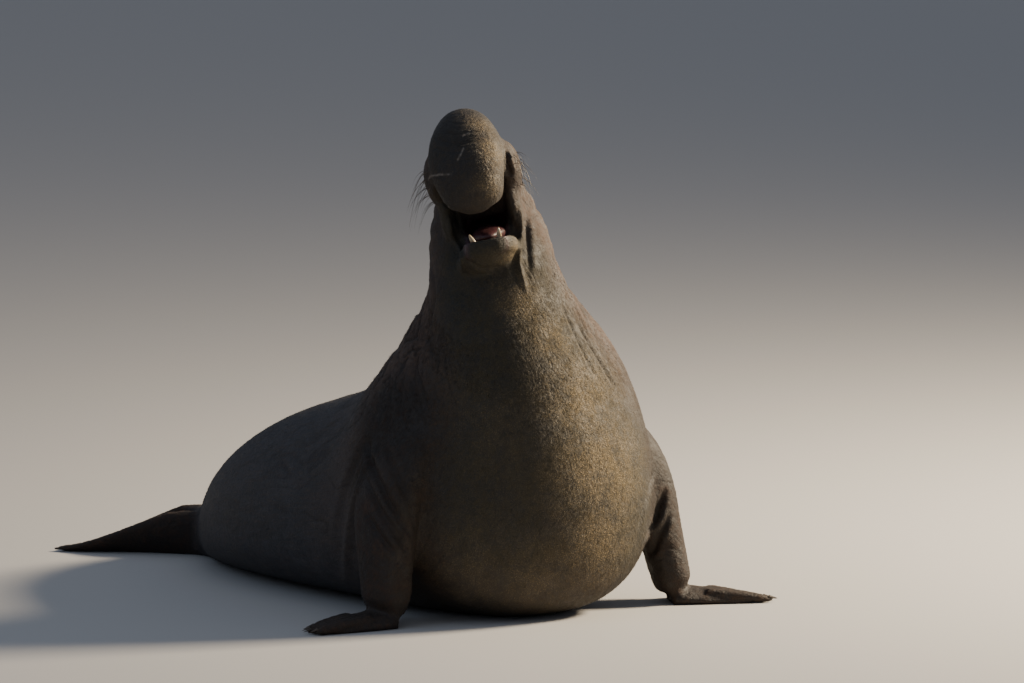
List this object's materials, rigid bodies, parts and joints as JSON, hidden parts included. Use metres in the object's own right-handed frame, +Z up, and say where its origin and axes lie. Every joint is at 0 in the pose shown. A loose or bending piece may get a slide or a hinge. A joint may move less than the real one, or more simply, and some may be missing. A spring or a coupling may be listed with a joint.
{
  "type": "northern elephant seal",
  "caption": "Life-size bull northern elephant seal, reared up on its foreflippers with the head thrown back and the mouth open, as a still figure.",
  "frame": {"origin": "on the floor, under the middle of the whole animal's bounding box", "axes": "+Z up, +Y from the chest towards the hind flippers, -X towards the seal's right side"},
  "size_m": [2.0612, 3.0424, 2.0079],
  "materials": {
    "hide": "short dull fur over thick hide, rough, dusted with pale sand",
    "trunk": "dark wrinkled hide with pale scratches",
    "fin": "dark leathery skin, nearly bare",
    "mouth": "wet dark red flesh",
    "tooth": "worn yellowish ivory",
    "claw": "dark horn",
    "eye": "wet and nearly black",
    "whisker": "stiff dark bristles with paler tips"
  },
  "bodies": {
    "root": {"hindquarters": "hide", "abdomen": "hide", "chest": "hide", "neck": "hide", "head": "hide", "lower_jaw": "hide", "proboscis": "trunk", "tongue": "mouth", "tail": "fin", "hind_flipper_right": "fin", "hind_flipper_left": "fin", "arm_left": "hide", "arm_right": "hide", "foreflipper_left": "fin", "foreflipper_right": "fin", "claw_left_1": "claw", "claw_left_2": "claw", "claw_left_3": "claw", "claw_left_4": "claw", "claw_left_5": "claw", "claw_right_1": "claw", "claw_right_2": "claw", "claw_right_3": "claw", "claw_right_4": "claw", "claw_right_5": "claw", "lower_canine_left": "tooth", "lower_canine_right": "tooth", "upper_canine_left": "tooth", "upper_canine_right": "tooth", "eye_left": "eye", "eye_right": "eye"}
  },
  "joints": []
}
